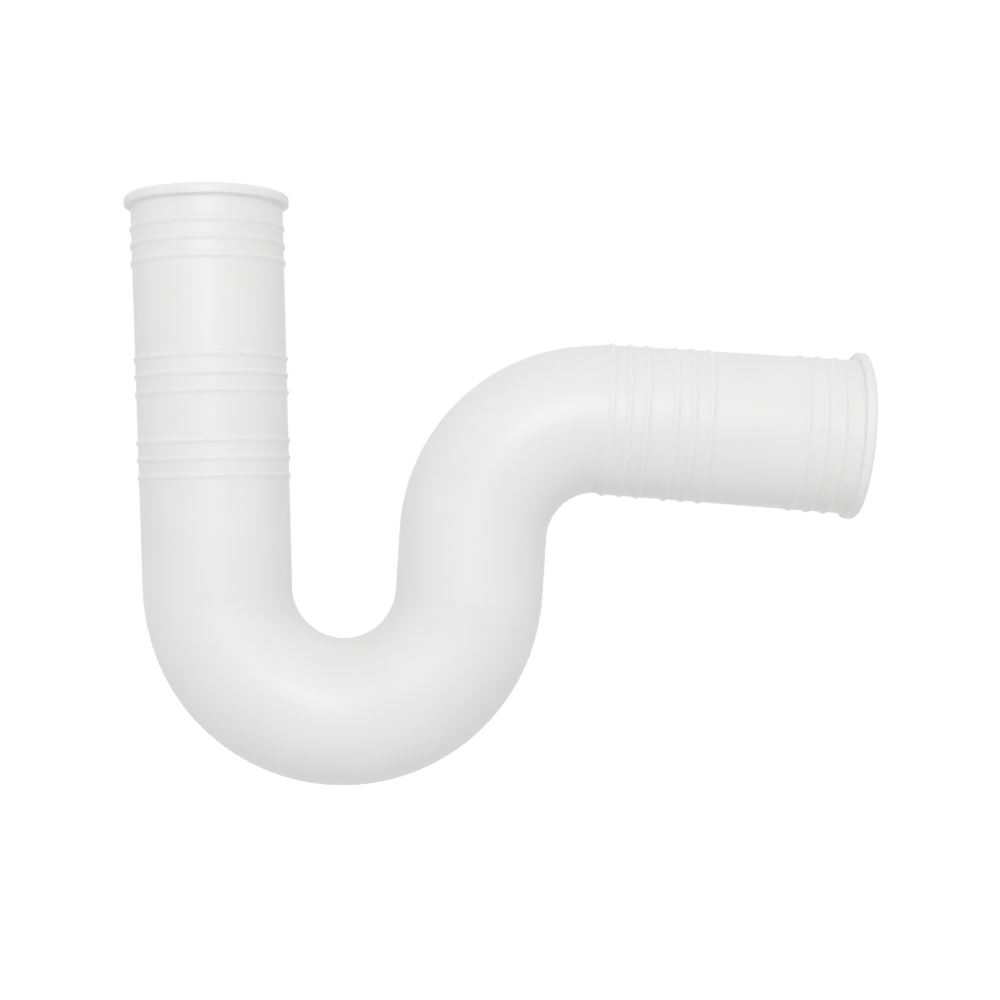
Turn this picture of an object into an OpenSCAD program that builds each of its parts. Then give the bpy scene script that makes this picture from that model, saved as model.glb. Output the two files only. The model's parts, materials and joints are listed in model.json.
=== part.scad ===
// Flexible sink trap, moulded in one piece from a soft white elastomer.
// A plain swept P-trap: a long upright inlet leg, a tight U bend that holds the water seal,
// a short riser, an outlet bend and a nearly level outlet leg. Both legs are open sockets that
// slip over a waste pipe and are clamped on it. Each has a lip round its mouth and groups of
// fine raised ribs, which show where a clamp sits and where the leg may be cut shorter.
// Units are millimetres. The origin is the centre of the inlet mouth, with +Z up and out of it.
// The trap runs towards +X, and y = 0 is its plane of symmetry.

/* [Pipe and wall] */
// Outside diameter of the waste pipe that both sockets take
pipe_d = 38.1; // [36:0.1:39.5]
// Width of the chamfer inside each mouth that guides the pipe in
lead_in = 1; // [0.4:0.1:1.6]
// Height of the shoulder at the foot of each socket, where the pipe stops
stop_h = 1; // [0.4:0.1:1.6]
// Wall thickness of the two bends and the riser
wall = 4.15; // [3.2:0.05:5.5]

/* [Inlet leg] */
// Length of the inlet leg, from its mouth to the start of the U bend
inlet_l = 118.7; // [100:0.1:180]
// Wall thickness of the inlet leg at its mouth, under the lip
inlet_mouth_wall = 3.65; // [2.8:0.05:5.5]
// How far the foot of the inlet leg stands proud of the U bend
inlet_foot_step = 0.1; // [0.05:0.05:1]
// Distances from the inlet mouth to the middle rib of each group
inlet_rib_groups = [15.2, 54.4, 79.4]; // [11:0.1:112]

/* [Bends] */
// Radius of the centreline of the U bend
u_radius = 38.1; // [34:0.1:60]
// Angle that the U bend turns through, in degrees
u_turn = 174.7; // [160:0.1:180]
// Length of the riser, the straight between the two bends
riser_l = 18.3; // [6:0.1:60]
// Radius of the centreline of the outlet bend
outlet_radius = 36.8; // [30:0.1:60]
// Angle that the outlet bend turns through, in degrees
outlet_turn = 90.4; // [80:0.1:94]

/* [Outlet leg] */
// Length of the outlet leg, from the end of its bend to its mouth
outlet_l = 77.6; // [77.4:0.1:140]
// Wall thickness of the outlet leg at its mouth, under the lip
outlet_mouth_wall = 4.2; // [2.8:0.05:6]
// How far the foot of the outlet leg stands proud of its bend
outlet_foot_step = 0.4; // [0.05:0.05:1.5]
// Distances from the outlet mouth to the middle rib of each group
outlet_rib_groups = [14.4, 52.5, 71.2]; // [11:0.1:71.4]

/* [Feet of the legs] */
// How far the foot of each leg laps over the start of its bend
foot_lap = 2.5; // [1.5:0.1:4]
// How far below the surface of the bend the lap ends
foot_sink = 0.3; // [0.2:0.05:0.6]

/* [Lips] */
// How far the lip of the inlet mouth stands out from the leg
inlet_lip_h = 1.9; // [1.2:0.1:4]
// How far the lip of the outlet mouth stands out from the leg
outlet_lip_h = 1.9; // [1.2:0.1:4]
// Thickness of both lips along the pipe
lip_t = 3.1; // [2:0.1:5]
// Radius of a lip's outer edge on the side of the mouth
lip_round = 1.1; // [0.3:0.1:1.2]
// Radius of a lip's outer edge on the side of the leg
lip_back_round = 0.4; // [0.1:0.05:0.6]
// Radius of the fillet between a lip and its leg
lip_fillet = 0.7; // [0.3:0.1:1.2]

/* [Ribs] */
// Height of a rib above the leg
rib_h = 0.5; // [0.2:0.05:1]
// Width of a rib where it meets the leg
rib_w = 1.9; // [1.2:0.1:2.5]
// Distance from one rib to the next in a group
rib_pitch = 5.2; // [3.5:0.1:5.3]
// Number of ribs in a group
ribs_in_group = 3; // [1:2:3]

/* [Hidden] */
$fn = 96;

bore_r = pipe_d / 2;
waterway_r = bore_r - stop_h;
tube_r = waterway_r + wall;

// A leg's outer wall as [radius, distance from the mouth] points, from its mouth to its foot
function leg_outline(mouth_wall, foot_step, length) = [
    [bore_r + mouth_wall, 0],
    [tube_r + foot_step, length],
    [tube_r - foot_sink, length + foot_lap]
];
inlet_outline = leg_outline(inlet_mouth_wall, inlet_foot_step, inlet_l);
outlet_outline = leg_outline(outlet_mouth_wall, outlet_foot_step, outlet_l);

// Outer radius of a leg at a distance from its mouth
function wall_r(outline, depth) = lookup(depth, [for (p = outline) [p[1], p[0]]]);

// Distances from the mouth to every rib, from those to the middle rib of each group
function rib_depths(groups) = [
    for (middle = groups, i = [0 : ribs_in_group - 1])
        middle + (i - (ribs_in_group - 1) / 2) * rib_pitch
];

// Radius of the arc whose cap is rib_h high and rib_w wide
rib_arc_r = (pow(rib_w / 2, 2) + pow(rib_h, 2)) / (2 * rib_h);

// Half section of a leg's wall, with the chamfer that guides the pipe in
module wall_section(outline) {
    foot = outline[len(outline) - 1];
    polygon([
        [bore_r + lead_in, 0],
        for (p = outline) [p[0], -p[1]],
        [bore_r, -foot[1]],
        [bore_r, -lead_in]
    ]);
}

// What rounding takes off a square corner at the origin, with the body towards -X and -Y
module corner_waste(r) {
    translate([-r, -r]) difference() {
        square(2 * r);
        circle(r = r);
    }
}

// Half section of a lip of outer radius lip_r, its outer edges rounded
module lip_section(lip_r) {
    inner_r = bore_r + lead_in;
    difference() {
        translate([inner_r, -lip_t]) square([lip_r - inner_r, lip_t]);
        translate([lip_r, 0]) corner_waste(lip_round);
        translate([lip_r, -lip_t]) mirror([0, 1]) corner_waste(lip_back_round);
    }
}

// Half section of the fillet under a lip, against a wall of outer radius r
module fillet_section(r) {
    inner_r = bore_r + lead_in;
    difference() {
        translate([inner_r, -lip_t - lip_fillet])
            square([r + lip_fillet - inner_r, 2 * lip_fillet]);
        translate([r + lip_fillet, -lip_t - lip_fillet]) circle(r = lip_fillet);
    }
}

// Half section of one rib at a distance from the mouth
module rib_section(outline, depth) {
    translate([wall_r(outline, depth) + rib_h - rib_arc_r, -depth]) circle(r = rib_arc_r);
}

// A socketed leg turned about its own axis. Its mouth is at the origin and opens towards +Z.
module leg(outline, lip_h, rib_groups) {
    rotate_extrude() wall_section(outline);
    rotate_extrude() lip_section(wall_r(outline, 0) + lip_h);
    rotate_extrude() fillet_section(wall_r(outline, lip_t + lip_fillet));
    for (depth = rib_depths(rib_groups))
        rotate_extrude() rib_section(outline, depth);
}

// Cross section of the bends and the riser
module tube_section() {
    difference() {
        circle(r = tube_r);
        circle(r = waterway_r);
    }
}

// A bend that starts at the origin, heads up +Z and curls towards +X
module bend(radius, turn) {
    translate([radius, 0, 0]) rotate([90, 0, 0]) mirror([1, 0, 0])
        rotate_extrude(angle = turn) translate([radius, 0]) tube_section();
}

// Carries its children to the end of such a bend
module past_bend(radius, turn) {
    translate([radius, 0, 0]) rotate([0, turn, 0]) translate([-radius, 0, 0]) children();
}

// The swept middle of the trap, from the riser's foot at the origin: the U bend goes down and
// back towards -X, and the outlet bend goes up and on towards +X
module riser_with_bends() {
    linear_extrude(riser_l) tube_section();
    rotate([0, 180, 0]) bend(u_radius, u_turn);
    translate([0, 0, riser_l]) bend(outlet_radius, outlet_turn);
}

module trap_body() color("whitesmoke") {
    leg(inlet_outline, inlet_lip_h, inlet_rib_groups);
    translate([0, 0, -inlet_l]) rotate([180, 0, 0]) past_bend(u_radius, u_turn)
        rotate([0, 0, 180]) {
            riser_with_bends();
            translate([0, 0, riser_l]) past_bend(outlet_radius, outlet_turn)
                translate([0, 0, outlet_l])
                    leg(outlet_outline, outlet_lip_h, outlet_rib_groups);
        }
}

trap_body();
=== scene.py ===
# Looks of a soft white sink trap that is moulded in one piece
# The skin is one closed grid swept along the pipe's centreline. A point of it has a distance from
# the inlet mouth along that line, a radius and an angle round it. Lengths are in metres.
import json
import math

import bpy
import numpy as np
from mathutils import Matrix, Vector, noise


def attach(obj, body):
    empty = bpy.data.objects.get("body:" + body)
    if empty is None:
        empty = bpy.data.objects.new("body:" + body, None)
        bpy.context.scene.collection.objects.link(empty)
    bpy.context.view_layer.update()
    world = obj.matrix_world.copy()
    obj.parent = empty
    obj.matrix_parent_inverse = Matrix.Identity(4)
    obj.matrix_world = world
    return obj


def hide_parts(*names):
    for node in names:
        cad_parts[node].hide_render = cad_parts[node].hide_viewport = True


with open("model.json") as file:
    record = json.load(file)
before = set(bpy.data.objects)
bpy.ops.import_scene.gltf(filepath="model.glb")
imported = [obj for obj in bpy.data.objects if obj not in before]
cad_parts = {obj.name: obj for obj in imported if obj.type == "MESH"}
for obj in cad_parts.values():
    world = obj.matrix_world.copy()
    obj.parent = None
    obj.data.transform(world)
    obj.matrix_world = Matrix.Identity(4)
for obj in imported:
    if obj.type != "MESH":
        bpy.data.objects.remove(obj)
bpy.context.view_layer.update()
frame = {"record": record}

MM = 0.001
MOUNTS = {mount["name"]: mount for mount in frame["record"]["mounts"]}

# Pipe and wall
BORE_R = MOUNTS["inlet"]["dims"]["r_mm"] * MM
STOP_H = 1.0 * MM
WATERWAY_R = BORE_R - STOP_H
TUBE_R = WATERWAY_R + 4.15 * MM
LEAD_IN = 1.0 * MM

# Centreline: inlet leg, U bend, riser, outlet bend, outlet leg
INLET_L = 118.7 * MM
U_RADIUS = 38.1 * MM
U_TURN = math.radians(174.7)
RISER_L = 18.3 * MM
OUTLET_RADIUS = 36.8 * MM
OUTLET_TURN = math.radians(90.4)
OUTLET_L = 77.6 * MM
INLET_HEADING = math.radians(-90)
# Each stretch of the centreline as (length, curvature), where a left turn is positive
STRETCHES = [
    (INLET_L, 0.0),
    (U_RADIUS * U_TURN, 1 / U_RADIUS),
    (RISER_L, 0.0),
    (OUTLET_RADIUS * OUTLET_TURN, -1 / OUTLET_RADIUS),
    (OUTLET_L, 0.0),
]
TRAP_L = sum(length for length, _ in STRETCHES)

# Legs: wall at the mouth, step at the foot, and the middle rib of each group from the mouth
INLET = {"length": INLET_L, "mouth_wall": 3.65 * MM, "foot_step": 0.1 * MM, "ribs": (15.2, 54.4, 79.4)}
OUTLET = {"length": OUTLET_L, "mouth_wall": 4.2 * MM, "foot_step": 0.4 * MM, "ribs": (14.4, 52.5, 71.2)}
FOOT_BLEND = 3.0 * MM
RIB_H = 0.5 * MM
RIB_HALF_W = 1.15 * MM
RIB_PITCH = 5.2 * MM
RIB_ZONE = RIB_PITCH + 1.8 * MM

# Lips: the inlet's is even, and the outlet's stands out more at the top than at the bottom
LIP_T = 3.1 * MM
LIP_ROUND = 1.1 * MM
LIP_BACK_ROUND = 0.5 * MM
LIP_FILLET = 0.8 * MM
INLET_LIP_H = 1.9 * MM
OUTLET_LIP_H = 1.9 * MM
OUTLET_LIP_LEAN = 0.45 * MM

# Grid
AROUND = 128
FINE_STEP = 0.3 * MM
COARSE_STEP = 1.6 * MM
INNER_STEP = 2.6 * MM

ANGLES = np.arange(AROUND) * (2 * math.pi / AROUND)


def headings(s):
    """Points on the centreline in X and Z, and the heading there, at distances s from the inlet mouth."""
    x = np.zeros_like(s)
    z = np.zeros_like(s)
    heading = np.zeros_like(s)
    start = np.array([0.0, 0.0])
    angle = INLET_HEADING
    done = 0.0
    for i, (length, curve) in enumerate(STRETCHES):
        first = -np.inf if i == 0 else done
        last = np.inf if i == len(STRETCHES) - 1 else done + length
        here = (s >= first) & (s <= last)
        along = np.append(s[here] - done, length)
        turned = angle + curve * along
        if curve:
            px = start[0] + (np.sin(turned) - math.sin(angle)) / curve
            pz = start[1] - (np.cos(turned) - math.cos(angle)) / curve
        else:
            px = start[0] + along * math.cos(angle)
            pz = start[1] + along * math.sin(angle)
        x[here] = px[:-1]
        z[here] = pz[:-1]
        heading[here] = turned[:-1]
        start = np.array([px[-1], pz[-1]])
        angle = turned[-1]
        done += length
    return x, z, heading


def swept(s, r):
    """Places in space of points at distances s, radii r and the grid's angles."""
    x, z, heading = headings(s)
    side = r * np.cos(ANGLES)
    return np.stack([x - side * np.sin(heading), r * np.sin(ANGLES), z + side * np.cos(heading)], axis=-1)


def ripple(size, height, seed):
    """A smooth closed wobble round the pipe, with features of about size and the given height."""
    ring = [noise.noise(Vector((BORE_R / size * math.cos(a), BORE_R / size * math.sin(a), seed))) for a in ANGLES]
    return height * np.array(ring)


def arc(centre, radius, start, end, steps):
    """Points (distance, radius) on an arc, from one angle to another, in degrees."""
    turns = np.radians(np.linspace(start, end, steps))
    return [(centre[0] + radius * math.sin(t), centre[1] + radius * math.cos(t)) for t in turns]


def leg_wall(leg, depth):
    """Outer radius of a leg without its ribs at a depth from its mouth, run out into the bend."""
    mouth = BORE_R + leg["mouth_wall"]
    foot = TUBE_R + leg["foot_step"]
    on_leg = mouth + (foot - mouth) * np.clip(depth / leg["length"], 0, 1)
    past = np.clip((depth - leg["length"]) / FOOT_BLEND, 0, 1)
    return on_leg + (TUBE_R - foot) * past * past * (3 - 2 * past)


def rib_centres(leg):
    return [(group * MM + k * RIB_PITCH) for group in leg["ribs"] for k in (-1, 0, 1)]


def rib_relief(leg, depth, seed):
    """Height of a leg's ribs over its wall. Each rib wavers a little in place and in height."""
    relief = np.zeros((len(depth), AROUND))
    for k, centre in enumerate(rib_centres(leg)):
        middle = centre + ripple(14 * MM, 0.22 * MM, seed + k)
        height = RIB_H * (1 + ripple(9 * MM, 0.35, seed + 20 + k))
        off = np.clip(np.abs(depth[:, None] - middle) / RIB_HALF_W, 0, 1)
        relief += height * np.cos(off * math.pi / 2) ** 1.5
    return relief


def lip_profile(leg, lip_h):
    """Points (depth, radius) of a mouth's face and lip, from the lead-in to the leg's wall."""
    wall = leg_wall(leg, np.array([LIP_T]))[0]
    lip_r = BORE_R + leg["mouth_wall"] + lip_h
    face = [(0.0, BORE_R + LEAD_IN + 0.25 * MM), (0.0, (BORE_R + LEAD_IN + lip_r - LIP_ROUND) / 2)]
    front = arc((LIP_ROUND, lip_r - LIP_ROUND), LIP_ROUND, -90, 0, 8)
    top = [(LIP_T * 0.5, lip_r)]
    back = arc((LIP_T - LIP_BACK_ROUND, lip_r - LIP_BACK_ROUND), LIP_BACK_ROUND, 0, 90, 6)
    fillet = arc((LIP_T + LIP_FILLET, wall + LIP_FILLET), LIP_FILLET, -90, -180, 7)
    return face + front + top + back + fillet


def depths_of(leg):
    """Depths of the grid's rings down a leg, fine over its ribs, from the lip's fillet to past the foot."""
    fine = [(centre * MM - RIB_ZONE, centre * MM + RIB_ZONE) for centre in leg["ribs"]]
    depths = []
    depth = LIP_T + LIP_FILLET + FINE_STEP
    while depth < leg["length"] + FOOT_BLEND:
        depths.append(depth)
        in_zone = any(low <= depth <= high for low, high in fine)
        depth += FINE_STEP if in_zone else COARSE_STEP
    return np.array(depths)


def outer_leg(leg, lip_h, lean, seed):
    """(depths, radii) of the outer rings of a leg, from the face of its mouth to past its foot."""
    lip = np.array(lip_profile(leg, lip_h))
    wall_r = BORE_R + leg["mouth_wall"]
    raised = np.clip((lip[:, 1] - wall_r) / lip_h, 0, 1)[:, None]
    uneven = lean * np.cos(ANGLES) + ripple(10 * MM, 0.3 * MM, seed + 50)
    lip_radii = lip[:, 1][:, None] + raised * uneven
    lip_depths = np.repeat(lip[:, 0][:, None], AROUND, axis=1)
    lip_depths = lip_depths + raised * ripple(12 * MM, 0.25 * MM, seed + 60)
    depths = depths_of(leg)
    radii = leg_wall(leg, depths)[:, None] + rib_relief(leg, depths, seed)
    return np.vstack([lip_depths, np.repeat(depths[:, None], AROUND, axis=1)]), np.vstack([lip_radii, radii])


def inner_rings():
    """Distances and radii of the inner rings, from the outlet's lead-in back to the inlet's."""
    inlet = [(0.25 * MM, BORE_R + LEAD_IN - 0.25 * MM), (LEAD_IN, BORE_R)]
    inlet += [(d, BORE_R) for d in np.arange(2 * LEAD_IN, INLET_L, INNER_STEP)]
    inlet += [(INLET_L - 0.1 * MM, BORE_R), (INLET_L, BORE_R - 0.1 * MM), (INLET_L, WATERWAY_R + 0.1 * MM)]
    first = INLET_L + 0.1 * MM
    last = TRAP_L - OUTLET_L - 0.1 * MM
    steps = round((last - first) / INNER_STEP)
    waterway = [(d, WATERWAY_R) for d in np.linspace(first, last, steps)]
    outlet = [(TRAP_L - OUTLET_L, WATERWAY_R + 0.1 * MM), (TRAP_L - OUTLET_L, BORE_R - 0.1 * MM)]
    outlet += [(d, BORE_R) for d in np.arange(TRAP_L - OUTLET_L + 0.1 * MM, TRAP_L - LEAD_IN, INNER_STEP)]
    outlet += [(TRAP_L - LEAD_IN, BORE_R), (TRAP_L - 0.25 * MM, BORE_R + LEAD_IN - 0.25 * MM)]
    rings = np.array(inlet + waterway + outlet)[::-1]
    return rings[:, 0], rings[:, 1]


def trap_grid():
    """Distances and radii of every grid point, ring after ring, out along the outside and back inside."""
    inlet_s, inlet_r = outer_leg(INLET, INLET_LIP_H, 0.0, 1)
    outlet_s, outlet_r = outer_leg(OUTLET, OUTLET_LIP_H, OUTLET_LIP_LEAN, 101)
    outlet_s = TRAP_L - outlet_s[::-1]
    outlet_r = outlet_r[::-1]
    first = inlet_s[-1, 0] + COARSE_STEP
    last = outlet_s[0, 0] - COARSE_STEP
    steps = round((last - first) / COARSE_STEP)
    bends = np.linspace(first, last, steps)
    bends_s = np.repeat(bends[:, None], AROUND, axis=1)
    bends_r = np.full_like(bends_s, TUBE_R)
    inner_s, inner_r = inner_rings()
    inner_s = np.repeat(inner_s[:, None], AROUND, axis=1)
    inner_r = np.repeat(inner_r[:, None], AROUND, axis=1)
    return np.vstack([inlet_s, bends_s, outlet_s, inner_s]), np.vstack([inlet_r, bends_r, outlet_r, inner_r])


def make_trap(material):
    """The trap's skin as one closed mesh."""
    s, r = trap_grid()
    points = swept(s, r).reshape(-1, 3)
    rings = len(s)
    faces = []
    for i in range(rings):
        this = i * AROUND
        after = (i + 1) % rings * AROUND
        for j in range(AROUND):
            k = (j + 1) % AROUND
            faces.append((this + j, this + k, after + k, after + j))
    mesh = bpy.data.meshes.new("trap_skin")
    mesh.from_pydata([tuple(p) for p in points], [], faces)
    mesh.shade_smooth()
    mesh.materials.append(material)
    mesh.update()
    trap = bpy.data.objects.new("trap_skin", mesh)
    bpy.context.scene.collection.objects.link(trap)
    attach(trap, "root")
    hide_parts("trap_body")
    return trap


def node(tree, kind, x, y, **inputs):
    made = tree.nodes.new(kind)
    made.location = (x, y)
    for name, value in inputs.items():
        made.inputs[name.replace("_", " ")].default_value = value
    return made


def elastomer():
    """Soft white moulded elastomer, slightly translucent, satin, with a faintly uneven skin."""
    material = bpy.data.materials.new("white_elastomer")
    material.use_nodes = True
    tree = material.node_tree
    link = tree.links.new
    shader = tree.nodes["Principled BSDF"]
    shader.inputs["Roughness"].default_value = 0.4
    shader.inputs["IOR"].default_value = 1.45
    shader.inputs["Subsurface Weight"].default_value = 0.35
    shader.inputs["Subsurface Radius"].default_value = (1.0, 0.95, 0.9)
    shader.inputs["Subsurface Scale"].default_value = 3 * MM
    where = node(tree, "ShaderNodeTexCoord", -1200, 0)
    clouds = node(tree, "ShaderNodeTexNoise", -900, 200, Scale=45.0, Detail=3.0)
    link(where.outputs["Object"], clouds.inputs["Vector"])
    tint = node(tree, "ShaderNodeValToRGB", -650, 200)
    tint.color_ramp.elements[0].position = 0.3
    tint.color_ramp.elements[0].color = (0.875, 0.875, 0.872, 1)
    tint.color_ramp.elements[1].position = 0.7
    tint.color_ramp.elements[1].color = (0.905, 0.905, 0.903, 1)
    link(clouds.outputs["Fac"], tint.inputs["Fac"])
    link(tint.outputs["Color"], shader.inputs["Base Color"])
    peel = node(tree, "ShaderNodeTexNoise", -900, -300, Scale=500.0, Detail=4.0)
    link(where.outputs["Object"], peel.inputs["Vector"])
    bump = node(tree, "ShaderNodeBump", -400, -300, Strength=0.12, Distance=0.2 * MM)
    link(peel.outputs["Fac"], bump.inputs["Height"])
    link(bump.outputs["Normal"], shader.inputs["Normal"])
    return material


# Camera: level, square on to the trap's plane of symmetry, and rolled a little
CAMERA_DISTANCE = 490.9 * MM
CAMERA_AIM = Vector((86.2, 0, -94.2)) * MM
CAMERA_ROLL = math.radians(1.65)
SENSOR = 36.0
PICTURE_W = 1000
FOCAL_PIXELS = 1620.0


def add_camera():
    data = bpy.data.cameras.new("camera")
    data.sensor_width = SENSOR
    data.sensor_fit = "HORIZONTAL"
    data.lens = FOCAL_PIXELS / PICTURE_W * SENSOR
    data.clip_end = 50
    camera = bpy.data.objects.new("camera", data)
    bpy.context.scene.collection.objects.link(camera)
    right = Vector((math.cos(CAMERA_ROLL), 0, -math.sin(CAMERA_ROLL)))
    up = Vector((math.sin(CAMERA_ROLL), 0, math.cos(CAMERA_ROLL)))
    back = Vector((0, -1, 0))
    turn = Matrix((right, up, back)).transposed()
    camera.matrix_world = Matrix.Translation(CAMERA_AIM + back * CAMERA_DISTANCE) @ turn.to_4x4()
    bpy.context.scene.camera = camera


FLOOR_Z = -430 * MM
FLOOR_SIZE = 8.0


def seen_directly(tree, x, y):
    """1 for what the camera sees, also in a reflection or through the object, and 0 for what lights it."""
    path = node(tree, "ShaderNodeLightPath", x, y)
    first = node(tree, "ShaderNodeMath", x + 200, y)
    first.operation = "MAXIMUM"
    tree.links.new(path.outputs["Is Camera Ray"], first.inputs[0])
    tree.links.new(path.outputs["Is Glossy Ray"], first.inputs[1])
    both = node(tree, "ShaderNodeMath", x + 400, y)
    both.operation = "MAXIMUM"
    tree.links.new(first.outputs["Value"], both.inputs[0])
    tree.links.new(path.outputs["Is Transmission Ray"], both.inputs[1])
    return both.outputs["Value"]


def add_floor():
    """A white floor that glows just enough to look white, and keeps the trap's shadow."""
    material = bpy.data.materials.new("floor")
    material.use_nodes = True
    tree = material.node_tree
    shader = tree.nodes["Principled BSDF"]
    shader.inputs["Base Color"].default_value = (0.8, 0.8, 0.8, 1)
    shader.inputs["Roughness"].default_value = 0.9
    shader.inputs["Emission Color"].default_value = (1, 1, 1, 1)
    glow = node(tree, "ShaderNodeMath", -200, -400)
    glow.operation = "MULTIPLY"
    glow.inputs[1].default_value = 0.55
    tree.links.new(seen_directly(tree, -900, -400), glow.inputs[0])
    tree.links.new(glow.outputs["Value"], shader.inputs["Emission Strength"])
    half = FLOOR_SIZE / 2
    corners = [(-half, -half, 0), (half, -half, 0), (half, half, 0), (-half, half, 0)]
    mesh = bpy.data.meshes.new("floor")
    mesh.from_pydata(corners, [], [(0, 1, 2, 3)])
    mesh.materials.append(material)
    floor = bpy.data.objects.new("floor", mesh)
    floor.location = (CAMERA_AIM.x, 0, FLOOR_Z)
    bpy.context.scene.collection.objects.link(floor)


SKY_LIGHT = 0.7


def add_sky():
    """An even white room, dimmer as a light than it looks."""
    world = bpy.data.worlds.new("room")
    bpy.context.scene.world = world
    world.use_nodes = True
    tree = world.node_tree
    background = tree.nodes["Background"]
    background.inputs["Color"].default_value = (1, 1, 1, 1)
    strength = node(tree, "ShaderNodeMapRange", -200, 0)
    strength.inputs["To Min"].default_value = SKY_LIGHT
    strength.inputs["To Max"].default_value = 1.0
    tree.links.new(seen_directly(tree, -900, 0), strength.inputs["Value"])
    tree.links.new(strength.outputs["Result"], background.inputs["Strength"])


def add_lamp(name, place, aim, size, watts):
    """A square soft lamp that points at aim."""
    data = bpy.data.lights.new(name, "AREA")
    data.shape = "SQUARE"
    data.size = size
    data.energy = watts
    lamp = bpy.data.objects.new(name, data)
    lamp.location = place
    lamp.rotation_euler = (aim - place).to_track_quat("-Z", "Y").to_euler()
    bpy.context.scene.collection.objects.link(lamp)


add_camera()
make_trap(elastomer())
add_floor()
add_sky()
add_lamp("front_lamp", CAMERA_AIM + Vector((0, -0.75, 0.25)), CAMERA_AIM, 0.35, 1.6)
bpy.context.scene.view_settings.view_transform = "Standard"
